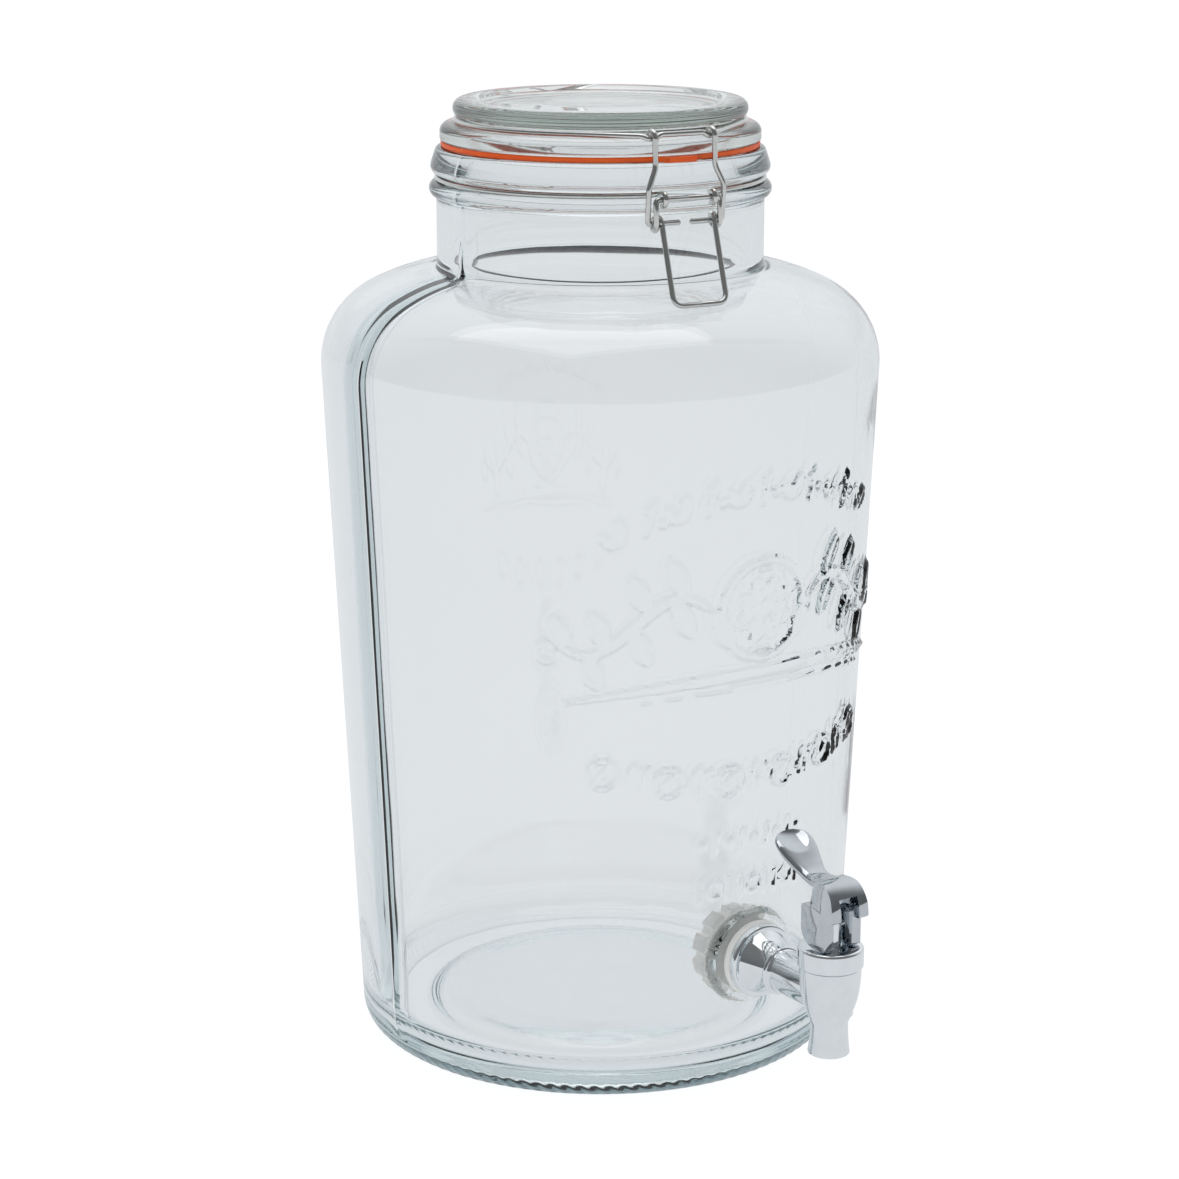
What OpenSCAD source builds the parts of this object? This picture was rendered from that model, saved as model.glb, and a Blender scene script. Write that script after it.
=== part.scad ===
// Glass drink jar with a wire clasp lid and a spring-closed lever tap.
// Origin: jar axis on the plane that the foot stands on. +Z is up and the tap points along -Y.

/* [Jar] */
// Outer radius of the body at the heel
body_r_low = 90.3; // [88:0.1:92]
// Outer radius of the body where the shoulder begins
body_r_high = 101.3; // [99:0.1:103]
// Height at which the shoulder begins
shoulder_z = 253; // [248:1:256]
// Outer radius of the neck
neck_r = 58.9; // [58.5:0.1:59.3]
// Height of the sealing land at the mouth
rim_z = 330.2; // [330:0.1:330.4]
// Radius of the mouth
mouth_r = 52; // [51.5:0.1:52.5]
// Thickness of the glass wall
wall = 4; // [3.5:0.1:4.5]
// Depth of the hollow under the foot
punt_depth = 8; // [6:0.5:9]
// Thickness of the glass at the middle of the floor
floor_t = 8; // [7:0.5:10]

/* [Clasp] */
// Turn of both wires and the clasp about the jar axis, away from the tap
clasp_turn = -7.3; // [-10:0.1:0]
// Diameter of the steel wire
wire_d = 2; // [1.8:0.1:2]
// Half width of the clasp handle
handle_half = 10.3; // [9.8:0.1:10.4]
// Height of the lowest wire of the handle
handle_low_z = 284.2; // [284.2:0.1:287]
// Distance of that wire from the jar axis
handle_low_r = 78; // [77:0.1:82]
// Sideways lean of the handle's lower end
handle_skew = -2.8; // [-3:0.1:3]

/* [Tap] */
// Height of the tap's horizontal axis
tap_z = 51; // [49:0.5:52]
// Distance of the tap's upright barrel from the jar axis
barrel_y = 137.5; // [136:0.5:139]
// Radius of the threaded shank
shank_r = 8; // [7.5:0.1:8.2]
// Radius of the flange and of the washers
flange_r = 13.4; // [13:0.1:14]
// Radius of the bore at the nozzle's mouth
outlet_r = 5.4; // [5:0.1:5.5]
// Height of the nozzle's mouth
nozzle_z = 29.5; // [28:0.5:31]
// Height of the lever pin
pin_z = 76; // [75.8:0.1:76.2]
// Width of the lever across its cheeks
lever_w = 16; // [15:0.5:17]

/* [Hidden] */

glass = [0.80, 0.88, 0.88, 0.45];
steel = [0.72, 0.72, 0.73];
chrome = [0.83, 0.84, 0.86];
white_rubber = [0.93, 0.93, 0.92];
orange_rubber = [1.0, 0.36, 0.08];

wire_r = wire_d / 2;
round_fn = 96;
small_fn = 48;

// Centres and radii of the arcs that the jar wall is made of; the body leans out by body_lean
heel_r = 10;
heel_c = [body_r_low - heel_r, heel_r];
shoulder_r = 30;
shoulder_c = [body_r_high - shoulder_r, shoulder_z];
body_lean = atan((body_r_high - body_r_low) / (shoulder_z - heel_r));
shoulder_turn = 65;
crown_r = 79;
crown_c = shoulder_c - (crown_r - shoulder_r) * [cos(shoulder_turn), sin(shoulder_turn)];
neck_fillet = 4;
fillet_x = neck_r + neck_fillet;
fillet_c = [fillet_x, crown_c[1] + sqrt(pow(crown_r + neck_fillet, 2) - pow(fillet_x - crown_c[0], 2))];
crown_turn = atan2(fillet_c[1] - crown_c[1], fillet_c[0] - crown_c[0]);

// The foot ring and the hollow under it
foot_in_r = 66;
foot_edge_r = 6;
foot_edge_turn = 60;
punt_edge = [57, 4.6];
floor_low_z = 8.5;
inner_heel_r = 13;

// The finish: bead, wire groove and rim, from the neck up
bead_r = 2.8;
bead_z = 315.4;
bead_c = [neck_r - 0.2, bead_z];
neck_wire_z = 319.33;
neck_wire_r = 58.55;
rim_r = 3;
rim_c = [57.9, 323.4];
rim_top_r = 2;
rim_top_c = [57.4, rim_z - rim_top_r];
groove_r = neck_wire_r - wire_r - 0.12;
mouth_lip = 1;

// The tap's seat on the jar
pad_r = 18;
pad_y = 95;
seat_in_y = 86.4;
hole_play = 0.3;
washer_t = 3;
inner_washer_t = 2;
flange_t = 3;
nut_t = 6.2;

// The lid, from its foot up
plug_r = 50.3;
plug_z = 327.2;
flange_z = 332.3;
lid_flange_r = 57.5;
lid_wire_z = 339.6;
lid_wire_r = 51.65;
lid_top_z = 347;
lid_groove_r = 50.2;
gasket_gap = 0.1;

// The clasp's three axes, as distance from the jar axis and height
axis_a = [63.5, 318.5];
axis_b = [61.7, 310.1];
axis_c = [59, 338.7];
hinge_axis = [65.5, 327];
eye_r = wire_d + 0.2;
coil_r = wire_d + 0.25;
crank_x = 12.45;
eye_x = 9.6;
arm_x = 14.6;
hook_x = 11.6;
stub_end_x = 2.5;
rear_bar_x = 10.5;
rear_eye_x = 6.4;

// The tap's inner works
chamber_r = 8.2;
seat_z = 44;
seat_bore_r = 4.9;
inlet_r = 5;
nozzle_bore_top_z = 40;
barrel_top_z = 61.7;
spigot_r = 9.6;
spigot_top_z = 66;
bonnet_r = 11.5;
bonnet_top_z = 69;
stem_r = 3.5;
stem_top_z = 80.8;
pin_r = 1.5;
running_gap = 0.05;
spring_wire_r = 0.45;
spring_mean_r = 5;
spring_low_z = 53.4;
spring_turns = 6;
cam_r = 6.6;

// ---- Geometry helpers ----

// Points of an arc about c, from turn a to turn b
function arc(c, r, a, b, n = 8) = [for (i = [0:n]) c + r * [cos(a + (b - a) * i / n), sin(a + (b - a) * i / n)]];

// One quadratic curve from a to b that is pulled towards c
function curve(a, c, b, n = 5) =
    [for (i = [0:n]) let (t = i / n) (1 - t) * (1 - t) * a + 2 * t * (1 - t) * c + t * t * b];

// A path through the given points with each corner rounded off over the length r
function rounded(p, r) = concat(
    [p[0]],
    [for (i = [1:len(p) - 2])
        let (back = unit(p[i - 1] - p[i]), on = unit(p[i + 1] - p[i]))
        each curve(p[i] + r * back, p[i], p[i] + r * on)],
    [p[len(p) - 1]]);

function unit(v) = v / norm(v);
function tangent(p, i) = unit(p[min(i + 1, len(p) - 1)] - p[max(i - 1, 0)]);
function square_to(n, t) = unit(n - (n * t) * t);
function normals(p, n, i = 0) =
    i >= len(p) ? [] : let (m = square_to(n, tangent(p, i))) concat([m], normals(p, m, i + 1));

// A point in the clasp's plane: x across, r away from the jar axis, z up
function out(x, r, z) = [x, -r, z];

// A round wire of radius r along the path p; start is any vector not along its first stretch
module sweep(p, r, start, sides = 12) {
    rows = len(p);
    side = normals(p, start);
    points = [
        for (i = [0:rows - 1])
            let (t = tangent(p, i), n = side[i], b = cross(t, n))
            for (k = [0:sides - 1])
                p[i] + r * (cos(360 * k / sides) * n + sin(360 * k / sides) * b)];
    skin = [
        for (i = [0:rows - 2])
            for (k = [0:sides - 1])
                let (a = i * sides + k, b = i * sides + (k + 1) % sides)
                each [[a, a + sides, b + sides], [a, b + sides, b]]];
    first = [for (k = [0:sides - 1]) k];
    last = [for (k = [sides - 1:-1:0]) (rows - 1) * sides + k];
    polyhedron(points = points, faces = concat([first, last], skin), convexity = 6);
}

// A tube about Z
module tube(r_out, r_in, h) {
    difference() {
        cylinder(r = r_out, h = h, $fn = round_fn);
        translate([0, 0, -1]) cylinder(r = r_in, h = h + 2, $fn = round_fn);
    }
}

// Places children on the tap's horizontal axis, at distance y, with their +Z pointing away from the jar
module on_tap(y) {
    translate([0, -y, tap_z]) rotate([90, 0, 0]) children();
}

// Places children on the barrel's upright axis
module on_barrel(z) {
    translate([0, -barrel_y, z]) children();
}

// A rod along X about the point at distance y and height z
module cross_rod(r, length, y, z) {
    translate([-length / 2, -y, z]) rotate([0, 90, 0]) cylinder(r = r, h = length, $fn = small_fn);
}

// ---- Jar ----

// The wall's outline from the heel to the neck, moved into the glass by d
function wall_line(d, heel) = concat(
    heel,
    arc(shoulder_c, shoulder_r - d, -body_lean, shoulder_turn, 14),
    arc(crown_c, crown_r - d, shoulder_turn, crown_turn, 4),
    arc(fillet_c, neck_fillet + d, crown_turn + 180, 180, 6));

// The inner heel touches the sloping wall and the low ring of the floor
function inner_heel_c() =
    let (z = floor_low_z + inner_heel_r, d = wall + inner_heel_r)
    [heel_c[0] + heel_r * cos(body_lean) + (z - heel_c[1]) * tan(body_lean) - d / cos(body_lean), z];

function jar_outside() = concat(
    [[0, punt_depth]],
    curve([40, punt_depth - 1], [52, punt_depth - 1.6], punt_edge, 3),
    arc([foot_in_r, foot_edge_r], foot_edge_r, -90 - foot_edge_turn, -90, 5),
    wall_line(0, arc(heel_c, heel_r, -90, -body_lean, 8)),
    arc(bead_c, bead_r, -84, 96, 10),
    [[groove_r, bead_z + bead_r + 0.3], [groove_r, neck_wire_z + wire_r - 0.2]],
    arc(rim_c, rim_r, -98, 18, 8),
    arc(rim_top_c, rim_top_r, 18, 90, 5));

function jar_inside() = concat(
    [[0, punt_depth + floor_t]],
    curve([46, punt_depth + floor_t - 1.5], [55, punt_depth + floor_t - 2.5], [60, floor_low_z + 2], 4),
    curve([60, floor_low_z + 2], [64, floor_low_z], [70, floor_low_z], 3),
    wall_line(wall, arc(inner_heel_c(), inner_heel_r, -90, -body_lean, 8)),
    [[neck_r - wall, 309]],
    curve([neck_r - wall, 313], [mouth_r, 316], [mouth_r, 321], 4),
    arc([mouth_r + mouth_lip, rim_z - mouth_lip], mouth_lip, 180, 90, 3));

function reversed(p) = [for (i = [len(p) - 1:-1:0]) p[i]];

module jar() {
    color(glass) difference() {
        union() {
            rotate_extrude($fn = round_fn) polygon(concat(jar_outside(), reversed(jar_inside())));
            on_tap(seat_in_y) cylinder(r = pad_r, h = pad_y - seat_in_y, $fn = round_fn);
        }
        on_tap(seat_in_y - 10) cylinder(r = shank_r + hole_play, h = pad_y - seat_in_y + 20, $fn = round_fn);
    }
}

// ---- Lid ----

module lid() {
    flange_round = 3;
    roll_r = 3.4;
    dish_z = lid_top_z - 1.5;
    under_z = lid_top_z - 7.5;
    roll_c = [49.4, lid_top_z - roll_r];
    flange_c = [lid_flange_r - flange_round, lid_wire_z - wire_r - 0.1 - flange_round];
    color(glass) rotate_extrude($fn = round_fn) polygon(concat(
        [[0, under_z]],
        curve([43, under_z], [46, under_z], [46.3, under_z - 3], 4),
        arc([46.8 + 1, plug_z + 1], 1, 180, 270, 3),
        arc([plug_r - 1, plug_z + 1], 1, -90, 0, 3),
        [[plug_r, flange_z]],
        arc([lid_flange_r - 1, flange_z + 1], 1, -90, 0, 4),
        arc(flange_c, flange_round, 0, 90, 6),
        [[lid_groove_r + 0.4, flange_c[1] + flange_round], [lid_groove_r, flange_c[1] + flange_round + 0.4]],
        arc(roll_c, roll_r, -72, 90, 10),
        curve([47, lid_top_z], [44.5, lid_top_z], [42.5, dish_z], 4),
        [[0, dish_z]]));
}

module lid_gasket() {
    inner_r = plug_r + 0.25;
    outer_r = 56.5;
    low_z = rim_z + gasket_gap;
    thick = flange_z - gasket_gap - low_z;
    tab_half = 6.5;
    tab_r = 60.2;
    color(orange_rubber) rotate([0, 0, clasp_turn]) translate([0, 0, low_z]) difference() {
        union() {
            cylinder(r = outer_r, h = thick, $fn = round_fn);
            translate([-tab_half, -tab_r + 2, 0]) cube([2 * tab_half, 10, thick]);
            for (side = [-1, 1])
                translate([side * (tab_half - 2), -tab_r + 2, 0]) cylinder(r = 2, h = thick, $fn = small_fn);
            translate([-tab_half + 2, -tab_r, 0]) cube([2 * tab_half - 4, 10, thick]);
        }
        translate([0, 0, -1]) cylinder(r = inner_r, h = thick + 2, $fn = round_fn);
    }
}

// ---- Wires ----

// Front end of the lid wire: tangent to its groove, a dip under the hook, then the raised bar
function lid_wire_front(s) = let (r = axis_c[0], z = axis_c[1]) [
    out(s * (hook_x + 3.2), r - 1.4, lid_wire_z),
    out(s * (hook_x + 1.3), r, z),
    out(s * (hook_x - 1.3), r, z),
    out(s * (hook_x - 3.4), r, z + 1.3)];

// The curl about the hinge bar, from its outer side round underneath and back up inside
function hinge_curl(x) = [
    for (i = [0:14])
        let (a = 180 + 280 * i / 14)
        [x, hinge_axis[0] - eye_r * cos(a), hinge_axis[1] + eye_r * sin(a)]];

module lid_wire() {
    front_gap = 41;
    rear_gap = 32;
    groove = [
        for (i = [0:20])
            let (a = front_gap + (180 - rear_gap - front_gap) * i / 20)
            [lid_wire_r * sin(a), -lid_wire_r * cos(a), lid_wire_z]];
    leg = rounded([
        groove[20],
        out(rear_eye_x + 1.6, -61.5, lid_wire_z),
        out(rear_eye_x, -hinge_axis[0] - eye_r, hinge_axis[1] + 5)], 1.8);
    half = concat(
        rounded(concat([out(0, axis_c[0], axis_c[1] + 1.3)], reversed(lid_wire_front(1)), [groove[0]]), 0.8),
        [for (i = [1:19]) groove[i]],
        leg,
        hinge_curl(rear_eye_x));
    color(steel) rotate([0, 0, clasp_turn])
        for (s = [0, 1]) mirror([s, 0, 0]) sweep(half, wire_r, [0, 0, 1]);
}

module neck_wire() {
    front_gap = 13;
    rear_gap = 24;
    groove = [
        for (i = [0:20])
            let (a = front_gap + (180 - rear_gap - front_gap) * i / 20)
            [neck_wire_r * sin(a), -neck_wire_r * cos(a), neck_wire_z]];
    eye = [
        for (i = [0:12])
            let (a = 110 - 215 * i / 12)
            out(eye_x, axis_a[0] + eye_r * cos(a), axis_a[1] + eye_r * sin(a))];
    lead_in = curve(eye[0], out(eye_x + 0.6, 59.4, neck_wire_z + 0.6), groove[0], 5);
    rear = rounded([
        groove[20],
        out(rear_bar_x + 1.5, -64, neck_wire_z + 0.5),
        out(rear_bar_x, -hinge_axis[0], hinge_axis[1]),
        out(rear_bar_x - 2.6, -hinge_axis[0], hinge_axis[1])], 1.8);
    half = concat(reversed(eye), [for (i = [1:4]) lead_in[i]], groove, [for (i = [1:len(rear) - 1]) rear[i]]);
    color(steel) rotate([0, 0, clasp_turn]) {
        for (s = [0, 1]) mirror([s, 0, 0]) sweep(half, wire_r, [0, 0, 1]);
        cross_rod(wire_r + 0.03, 2 * rear_bar_x - 4.8, -hinge_axis[0], hinge_axis[1]);
    }
}

// ---- Clasp ----

// One turn of the lever's wire about the arms' stubs, stepping in by one wire
function lever_coil() = [
    for (i = [0:20])
        let (a = -360 * i / 20, x = crank_x - (crank_x - handle_half) * i / 20)
        out(x, axis_b[0] + coil_r * cos(a), axis_b[1] + coil_r * sin(a))];

// One half of the lever's wire from the crossbar's end to the middle of the handle; side is 1 or -1
function lever_half(side) = let (elbow = 1.6, skew = side * handle_skew) concat(
    rounded([
        out(crank_x - 2.2, axis_a[0], axis_a[1]),
        out(crank_x, axis_a[0], axis_a[1]),
        out(crank_x, axis_b[0] + coil_r, axis_a[1] - 4),
        out(crank_x, axis_b[0] + coil_r, axis_b[1] + 0.6)], elbow),
    lever_coil(),
    rounded([
        out(handle_half, axis_b[0] + coil_r + 0.2, axis_b[1] - 0.6),
        out(handle_half + skew, handle_low_r, handle_low_z),
        out(skew, handle_low_r, handle_low_z)], 4));

module clasp_lever() {
    crossbar_gap = 0.2;
    color(steel) rotate([0, 0, clasp_turn])
        for (s = [0, 1]) mirror([s, 0, 0]) {
            sweep(lever_half(1 - 2 * s), wire_r, [1, 0, 0.5]);
            translate([crossbar_gap, -axis_a[0], axis_a[1]]) rotate([0, 90, 0])
                cylinder(r = wire_r, h = crank_x - 2 - crossbar_gap, $fn = small_fn);
        }
}

// One arm: a stub that turns in the lever's coil, a shoulder that clears the rim, and a hook
module clasp_arm(s) {
    hook_r = axis_c[0] + 2 * wire_r + 0.35;
    path = rounded([
        out(arm_x - 3, axis_b[0], axis_b[1]),
        out(arm_x, axis_b[0], axis_b[1]),
        out(arm_x, 62.6, 322.5),
        out(hook_x, 61.6, 329),
        out(hook_x, hook_r, axis_c[1] - 0.5),
        out(hook_x, hook_r, axis_c[1] + 1.6)], 1.5);
    color(steel) rotate([0, 0, clasp_turn]) mirror([s, 0, 0]) {
        sweep(path, wire_r, [0, 0.3, 1]);
        translate([stub_end_x, -axis_b[0], axis_b[1]]) rotate([0, 90, 0])
            cylinder(r = wire_r, h = arm_x - 2.8 - stub_end_x, $fn = small_fn);
    }
}

module clasp_arm_left() {
    clasp_arm(1);
}

module clasp_arm_right() {
    clasp_arm(0);
}

// ---- Tap ----

module tap_body() {
    back = pad_y + washer_t;
    front = back + flange_t;
    shank_in_y = 74;
    horn_end = 10;
    horn = concat(
        [[0, 0], [flange_r, 0]],
        arc([flange_r - 1, flange_t - 1], 1, 0, 90, 4),
        curve([11.2, flange_t], [8.6, flange_t + 5], [7.8, flange_t + horn_end], 6),
        arc([7.9, flange_t + horn_end + 1.2], 0.9, -90, 90, 5),
        [[shank_r, flange_t + horn_end + 2.2], [shank_r, barrel_y - back], [0, barrel_y - back]]);
    barrel = concat(
        [[0, nozzle_z], [7.3, nozzle_z]],
        curve([7.3, nozzle_z], [6.5, 35.5], [6.6, 41], 5),
        curve([6.6, 41], [8.4, 45.5], [9.3, 48.4], 4),
        curve([9.3, 48.4], [10.7, 53], [10.8, barrel_top_z], 5),
        [[spigot_r, barrel_top_z], [spigot_r, spigot_top_z], [0, spigot_top_z]]);
    color(chrome) difference() {
        union() {
            on_tap(back) rotate_extrude($fn = round_fn) polygon(horn);
            on_tap(shank_in_y) cylinder(r = shank_r, h = back - shank_in_y + 1, $fn = round_fn);
            on_barrel(0) rotate_extrude($fn = round_fn) polygon(barrel);
        }
        on_tap(shank_in_y - 1) cylinder(r = inlet_r, h = barrel_y - shank_in_y, $fn = round_fn);
        on_barrel(nozzle_z - 1) cylinder(r = outlet_r, h = nozzle_bore_top_z - nozzle_z + 1, $fn = round_fn);
        on_barrel(nozzle_bore_top_z - 1)
            cylinder(r = seat_bore_r, h = seat_z - nozzle_bore_top_z + 2, $fn = round_fn);
        on_barrel(seat_z) cylinder(r = chamber_r, h = spigot_top_z - seat_z + 1, $fn = round_fn);
    }
}

module tap_outer_washer() {
    color(white_rubber) on_tap(pad_y) tube(flange_r + 0.4, shank_r + 0.1, washer_t);
}

module tap_inner_washer() {
    color(white_rubber) on_tap(seat_in_y - inner_washer_t) tube(flange_r, shank_r + 0.1, inner_washer_t);
}

// The nut on the inside, with notches for the fingers
module tap_nut() {
    notches = 10;
    nut_r = 16;
    notch_r = 2.4;
    color(white_rubber) on_tap(seat_in_y - inner_washer_t - nut_t) difference() {
        tube(nut_r, shank_r + running_gap, nut_t);
        for (i = [0:notches - 1])
            rotate([0, 0, (i + 0.5) * 360 / notches]) translate([nut_r + 1.2, 0, -1])
                cylinder(r = notch_r, h = nut_t + 2, $fn = small_fn);
    }
}

module tap_bonnet() {
    edge = 1;
    gland_r = 5;
    gland_z = [67, 68.5];
    roof_z = spigot_top_z + 0.1;
    hole_r = stem_r + 2 * running_gap;
    color(chrome) on_barrel(0) rotate_extrude($fn = round_fn) polygon(concat(
        [[spigot_r + running_gap, barrel_top_z + 0.1], [bonnet_r, barrel_top_z + 0.1]],
        arc([bonnet_r - edge, bonnet_top_z - edge], edge, 0, 90, 5),
        [[hole_r, bonnet_top_z], [hole_r, gland_z[1]], [gland_r, gland_z[1]], [gland_r, gland_z[0]],
        [hole_r, gland_z[0]], [hole_r, roof_z], [spigot_r + running_gap, roof_z]]));
}

module tap_stem() {
    tail_z = 47;
    tail_r = 2.6;
    collar_z = 52;
    collar_t = 1.3;
    color(chrome) difference() {
        union() {
            on_barrel(tail_z) cylinder(r = tail_r, h = collar_z - tail_z + 0.5, $fn = small_fn);
            on_barrel(collar_z) cylinder(r = 6.6, h = collar_t, $fn = small_fn);
            on_barrel(collar_z) cylinder(r = stem_r, h = stem_top_z - collar_z, $fn = small_fn);
        }
        cross_rod(pin_r, 20, barrel_y, pin_z);
    }
}

module tap_stem_oring() {
    ring_r = 4.28;
    ring_t = 0.65;
    color(white_rubber) on_barrel(67.75) rotate_extrude($fn = round_fn)
        translate([ring_r, 0]) circle(r = ring_t, $fn = small_fn);
}

module tap_seat_cup() {
    low_z = seat_z + 0.05;
    top_z = 51.95;
    color(white_rubber) on_barrel(0) rotate_extrude($fn = round_fn) polygon([
        [0, low_z - 1.4], [2.6, low_z - 1.2], [4.8, low_z], [7, low_z], [7.4, low_z + 3],
        [7.4, top_z], [2.65, top_z], [2.65, 46.9], [0, 46.9]]);
}

module tap_spring() {
    steps = 14;
    high_z = spigot_top_z - spring_wire_r;
    low_z = spring_low_z + spring_wire_r;
    count = steps * spring_turns;
    path = [
        for (i = [0:count])
            let (a = 360 * i / steps)
            [spring_mean_r * cos(a), spring_mean_r * sin(a) - barrel_y, low_z + (high_z - low_z) * i / count]];
    color(steel) sweep(path, spring_wire_r, [0, 0, 1], 6);
}

// Side view of one cheek with the hood and front prong above it; y runs away from the jar
function cheek_line() =
    let (back = barrel_y - cam_r, front = barrel_y + 6.2, low = pin_z - cam_r)
    concat(
        [[back, 84]],
        arc([barrel_y, pin_z], cam_r, 180, 270, 8),
        arc([front - 1, low + 1], 1, -90, 0, 4),
        [[front, 80.6]],
        arc([front + 2.9, 81.6], 1, -90, 0, 4),
        curve([front + 3.9, 82], [front + 3, 93], [barrel_y + 0.5, 93.3], 8),
        curve([barrel_y + 0.5, 93.3], [barrel_y - 2.5, 93.3], [barrel_y - 3.5, 91.2], 3),
        [[barrel_y - 2.2, 88], [barrel_y - 1.5, 84]]);

// A flat round end of the blade
module blade_end(r, t, y, z, tilt) {
    translate([0, -y, z]) rotate([tilt, 0, 0]) cylinder(r = r, h = t, center = true, $fn = 32);
}

module tap_lever() {
    slot_w = 2 * stem_r + 1;
    cheek_t = (lever_w - slot_w) / 2;
    blade = 2.6;
    color(chrome) difference() {
        union() {
            translate([-lever_w / 2, 0, 0]) rotate([90, 0, 90])
                linear_extrude(lever_w) polygon([for (p = cheek_line()) [-p[0], p[1]]]);
            hull() {
                blade_end(7, blade, 119.5, 98.3, -38);
                blade_end(6.2, blade, 121.5, 96.6, -38);
            }
            hull() {
                blade_end(6.2, blade, 121.5, 96.6, -38);
                blade_end(4.8, blade + 0.4, 128.5, 91.9, -22);
            }
            hull() {
                blade_end(4.8, blade + 0.4, 128.5, 91.9, -22);
                blade_end(5.2, blade + 1, 136, 90.9, 8);
            }
        }
        translate([-slot_w / 2, -barrel_y, pin_z]) rotate([0, 90, 0])
            cylinder(r = 8.2, h = slot_w, $fn = round_fn);
        translate([-slot_w / 2, -barrel_y - 14, 60]) cube([slot_w, 14, 28.5]);
        translate([0, -116.5, 104.5]) rotate([-36, 0, 0]) scale([1, 1.3, 0.62]) sphere(r = 6, $fn = 48);
        cross_rod(pin_r + running_gap, 30, barrel_y, pin_z);
    }
}

module tap_lever_pin() {
    color(chrome) cross_rod(pin_r - running_gap, lever_w - 0.6, barrel_y, pin_z);
}

jar();
lid();
lid_gasket();
lid_wire();
neck_wire();
clasp_lever();
clasp_arm_left();
clasp_arm_right();
tap_body();
tap_outer_washer();
tap_inner_washer();
tap_nut();
tap_bonnet();
tap_stem();
tap_stem_oring();
tap_seat_cup();
tap_spring();
tap_lever();
tap_lever_pin();
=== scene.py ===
"""Glass drink jar with a wire clasp lid and a chrome lever tap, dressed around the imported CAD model."""
import math

import bmesh
import bpy
import numpy as np
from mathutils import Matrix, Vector, noise


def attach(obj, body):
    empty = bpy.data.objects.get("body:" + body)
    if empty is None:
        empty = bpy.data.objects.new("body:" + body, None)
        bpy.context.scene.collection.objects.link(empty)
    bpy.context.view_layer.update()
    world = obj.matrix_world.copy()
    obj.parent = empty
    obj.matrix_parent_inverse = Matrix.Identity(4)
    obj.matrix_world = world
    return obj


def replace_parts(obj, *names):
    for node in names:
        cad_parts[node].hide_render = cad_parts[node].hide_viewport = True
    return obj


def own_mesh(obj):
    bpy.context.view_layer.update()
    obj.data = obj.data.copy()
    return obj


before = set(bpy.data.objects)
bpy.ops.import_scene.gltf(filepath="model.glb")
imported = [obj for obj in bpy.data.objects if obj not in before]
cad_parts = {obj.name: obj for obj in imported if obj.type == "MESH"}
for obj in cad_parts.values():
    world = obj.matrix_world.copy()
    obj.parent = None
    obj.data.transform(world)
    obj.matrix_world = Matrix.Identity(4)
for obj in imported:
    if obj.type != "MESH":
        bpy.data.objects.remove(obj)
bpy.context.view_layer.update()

# Every outline below is in millimetres, and make() turns it into metres
MM = 0.001
# Height of the tap's axis, and how far the barrel's axis stands in front of the jar's axis
TAP_Z, BARREL_Y = 51.0, 137.5
# The clasp and the hinge are turned a little about the jar's axis
CLASP_TURN = math.radians(-7.3)
WIRE_R = 1.0
WHITE = (1.0, 1.0, 1.0, 1.0)


# ---- Camera, light and floor ----

CAMERA_PLACE = (-0.6449, -0.9108, 0.4585)
CAMERA_TILT, CAMERA_TURN, LENS_MM = 75.3, -35.1, 94.96
GLASS_BOUNCES = 24

# Each light: name, place, what it faces, its two sides, watts, and whether glass and chrome show it
SOFTBOXES = (
    ("key", (-1.7, -0.2, 1.2), (0, 0, 0.2), (0.7, 1.8), 9, False),
    ("fill", (1.0, -1.6, 1.1), (0, 0, 0.2), (0.4, 1.6), 5, False),
    ("top", (0.0, 0.2, 2.0), (0, 0, 0), (1.6, 1.6), 9, True),
)

# The room's grey by height, from the horizon at 0.5 to straight up at 1.0, slightly cool
HORIZON_COLOUR = (0.80, 0.82, 0.83, 1)
ROOM_GREYS = ((0.56, 0.74), (0.66, 0.86), (0.80, 0.95))
COOL = (0.995, 1.03, 1.055)
# The room is bright towards its far side; strength goes from dim to full between two dot products
FAR_SIDE = (0.578, 0.816, 0.30)
DIM_BELOW, FULL_ABOVE, DIM_STRENGTH, FULL_STRENGTH = -0.05, 0.80, 0.20, 1.0

FLOOR_HALF = 14.0
# The floor's own glow in what the object refracts and reflects, and as the camera sees it
FLOOR_COLOUR = (0.955, 0.975, 1.0, 1)
FLOOR_GLOW, FLOOR_GLOW_SEEN = 0.750, 1.0


def add_camera():
    data = bpy.data.cameras.new("camera")
    data.lens = LENS_MM
    data.sensor_width = 36.0
    data.sensor_fit = "HORIZONTAL"
    data.clip_start = 0.01
    camera = bpy.data.objects.new("camera", data)
    camera.location = CAMERA_PLACE
    camera.rotation_euler = (math.radians(CAMERA_TILT), 0.0, math.radians(CAMERA_TURN))
    bpy.context.scene.collection.objects.link(camera)
    bpy.context.scene.camera = camera


def softbox(name, place, aim, size, watts, shows):
    data = bpy.data.lights.new(name, "AREA")
    data.shape = "RECTANGLE"
    data.size, data.size_y = size
    data.energy = watts
    light = bpy.data.objects.new(name, data)
    light.location = place
    light.rotation_euler = (Vector(aim) - Vector(place)).to_track_quat("-Z", "Y").to_euler()
    light.visible_glossy = shows
    light.visible_transmission = shows
    bpy.context.scene.collection.objects.link(light)


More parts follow.
